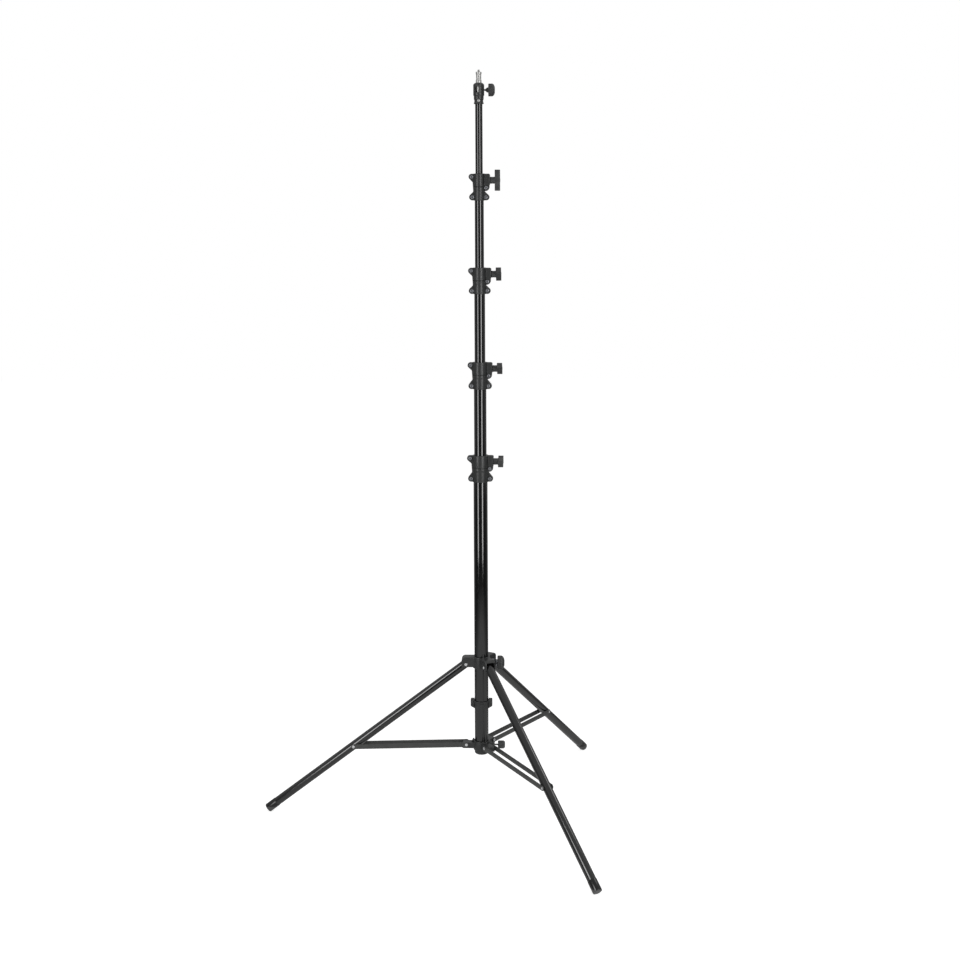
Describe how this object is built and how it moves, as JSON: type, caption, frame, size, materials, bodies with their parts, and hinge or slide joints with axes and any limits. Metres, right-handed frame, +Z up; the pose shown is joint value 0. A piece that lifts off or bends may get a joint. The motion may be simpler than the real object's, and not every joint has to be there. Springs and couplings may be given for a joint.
{
  "type": "light stand",
  "caption": "Black telescoping light stand on a folding tripod base, with clamp collars, T-knobs, braced legs and a reversible steel spigot for a lamp.",
  "frame": {"origin": "on the floor, under the middle of the stand's bounding box as it stands; the column's axis is beside it in +X", "axes": "+Z up along the column, +X towards the knobs, +Y to the back; leg 1 points along -X"},
  "size_m": [0.9726, 1.1188, 2.1317],
  "materials": {
    "anodised_tube": "black anodised, satin",
    "cast_alloy": "charcoal powder coat on die casting",
    "moulded_plastic": "charcoal, fine grain",
    "nylon": "natural nylon",
    "painted_steel": "dark grey, satin",
    "rubber": "matt black",
    "zinc_plate": "bright zinc plate"
  },
  "bodies": {
    "base": {"base_tube": "anodised_tube", "stop_ring": "cast_alloy", "bottom_collar": "cast_alloy", "stay_1_inner_rivet": "zinc_plate", "stay_2_inner_rivet": "zinc_plate", "stay_3_inner_rivet": "zinc_plate", "collar_1_front_half": "cast_alloy", "collar_1_back_half": "cast_alloy", "collar_1_clamp_pad": "nylon"},
    "leg_slider": {"leg_collar": "cast_alloy", "leg_1_pivot_rivet": "zinc_plate", "leg_2_pivot_rivet": "zinc_plate", "leg_3_pivot_rivet": "zinc_plate"},
    "leg_slider_knob": {"leg_collar_knob": "moulded_plastic"},
    "base_knob": {"bottom_collar_knob": "moulded_plastic"},
    "leg_1": {"leg_1_tube": "anodised_tube", "leg_1_stay_pin": "zinc_plate", "foot_1_cap": "rubber"},
    "stay_1": {"stay_1_left_bar": "painted_steel", "stay_1_right_bar": "painted_steel"},
    "leg_2": {"leg_2_tube": "anodised_tube", "leg_2_stay_pin": "zinc_plate", "foot_2_cap": "rubber"},
    "stay_2": {"stay_2_left_bar": "painted_steel", "stay_2_right_bar": "painted_steel"},
    "leg_3": {"leg_3_tube": "anodised_tube", "leg_3_stay_pin": "zinc_plate", "foot_3_cap": "rubber"},
    "stay_3": {"stay_3_left_bar": "painted_steel", "stay_3_right_bar": "painted_steel"},
    "riser_1": {"riser_1_tube": "anodised_tube", "riser_1_guide_plug": "nylon", "collar_2_front_half": "cast_alloy", "collar_2_back_half": "cast_alloy", "collar_2_clamp_pad": "nylon"},
    "clamp_knob_1": {"collar_1_t_knob": "moulded_plastic"},
    "riser_2": {"riser_2_tube": "anodised_tube", "riser_2_guide_plug": "nylon", "collar_3_front_half": "cast_alloy", "collar_3_back_half": "cast_alloy", "collar_3_clamp_pad": "nylon"},
    "clamp_knob_2": {"collar_2_t_knob": "moulded_plastic"},
    "riser_3": {"riser_3_tube": "anodised_tube", "riser_3_guide_plug": "nylon", "collar_4_front_half": "cast_alloy", "collar_4_back_half": "cast_alloy", "collar_4_clamp_pad": "nylon"},
    "clamp_knob_3": {"collar_3_t_knob": "moulded_plastic"},
    "riser_4": {"riser_4_tube": "anodised_tube", "riser_4_guide_plug": "nylon", "spigot_head": "cast_alloy", "head_rivet": "zinc_plate"},
    "clamp_knob_4": {"collar_4_t_knob": "moulded_plastic"},
    "spigot": {"spigot": "zinc_plate"},
    "head_knob": {"spigot_knob": "moulded_plastic"}
  },
  "joints": [
    {"name": "leg_collar_slide", "type": "slide", "parent": "base", "child": "leg_slider", "axis": [0, 0, 1], "range_m": [0, 0.50532]},
    {"name": "leg_1_hinge", "type": "hinge", "parent": "leg_slider", "child": "leg_1", "pos_m": [0.11236, 0, 0.45807], "axis": [0, -1, 0], "range_deg": [0, 52.8]},
    {"name": "stay_1_hinge", "type": "hinge", "parent": "base", "child": "stay_1", "pos_m": [0.11236, 0, 0.21457], "axis": [0, 1, 0], "range_deg": [0, 91.51]},
    {"name": "leg_2_hinge", "type": "hinge", "parent": "leg_slider", "child": "leg_2", "pos_m": [0.17911, -0.03854, 0.45807], "axis": [0.866, 0.5, 0], "range_deg": [0, 52.8]},
    {"name": "stay_2_hinge", "type": "hinge", "parent": "base", "child": "stay_2", "pos_m": [0.17911, -0.03854, 0.21457], "axis": [-0.866, -0.5, 0], "range_deg": [0, 91.51]},
    {"name": "leg_3_hinge", "type": "hinge", "parent": "leg_slider", "child": "leg_3", "pos_m": [0.17911, 0.03854, 0.45807], "axis": [-0.866, 0.5, 0], "range_deg": [0, 52.8]},
    {"name": "stay_3_hinge", "type": "hinge", "parent": "base", "child": "stay_3", "pos_m": [0.17911, 0.03854, 0.21457], "axis": [0.866, -0.5, 0], "range_deg": [0, 91.51]},
    {"name": "riser_1_slide", "type": "slide", "parent": "base", "child": "riser_1", "axis": [0, 0, 1], "range_m": [-0.1873, 0.4953]},
    {"name": "clamp_knob_1_turn", "type": "hinge", "parent": "base", "child": "clamp_knob_1", "pos_m": [0.15686, 0, 1.05247], "axis": [1, 0, 0], "range_deg": [0, 270]},
    {"name": "riser_2_slide", "type": "slide", "parent": "riser_1", "child": "riser_2", "axis": [0, 0, 1], "range_m": [-0.189, 0.4938]},
    {"name": "clamp_knob_2_turn", "type": "hinge", "parent": "riser_1", "child": "clamp_knob_2", "pos_m": [0.15686, 0, 1.31697], "axis": [1, 0, 0], "range_deg": [0, 270]},
    {"name": "riser_3_slide", "type": "slide", "parent": "riser_2", "child": "riser_3", "axis": [0, 0, 1], "range_m": [-0.1822, 0.5036]},
    {"name": "clamp_knob_3_turn", "type": "hinge", "parent": "riser_2", "child": "clamp_knob_3", "pos_m": [0.15686, 0, 1.58017], "axis": [1, 0, 0], "range_deg": [0, 270]},
    {"name": "riser_4_slide", "type": "slide", "parent": "riser_3", "child": "riser_4", "axis": [0, 0, 1], "range_m": [-0.1852, 0.5277]},
    {"name": "clamp_knob_4_turn", "type": "hinge", "parent": "riser_3", "child": "clamp_knob_4", "pos_m": [0.15686, 0, 1.83647], "axis": [1, 0, 0], "range_deg": [0, 270]},
    {"name": "leg_slider_knob_turn", "type": "hinge", "parent": "leg_slider", "child": "leg_slider_knob", "pos_m": [0.15686, 0, 0.46007], "axis": [1, 0, 0], "range_deg": [0, 270]},
    {"name": "base_knob_turn", "type": "hinge", "parent": "base", "child": "base_knob", "pos_m": [0.15686, 0, 0.21107], "axis": [1, 0, 0], "range_deg": [0, 270]},
    {"name": "head_knob_turn", "type": "hinge", "parent": "riser_4", "child": "head_knob", "pos_m": [0.15686, 0, 2.07797], "axis": [1, 0, 0], "range_deg": [0, 270]},
    {"name": "spigot_lift", "type": "slide", "parent": "riser_4", "child": "spigot", "axis": [0, 0, 1], "range_m": [0, 0.085]}
  ],
  "couplings": [
    {"joint": "leg_1_hinge", "follows": "leg_collar_slide", "rad_per_m": 1.823},
    {"joint": "stay_1_hinge", "follows": "leg_collar_slide", "rad_per_m": 3.1599},
    {"joint": "leg_2_hinge", "follows": "leg_collar_slide", "rad_per_m": 1.823},
    {"joint": "stay_2_hinge", "follows": "leg_collar_slide", "rad_per_m": 3.1599},
    {"joint": "leg_3_hinge", "follows": "leg_collar_slide", "rad_per_m": 1.823},
    {"joint": "stay_3_hinge", "follows": "leg_collar_slide", "rad_per_m": 3.1599}
  ]
}
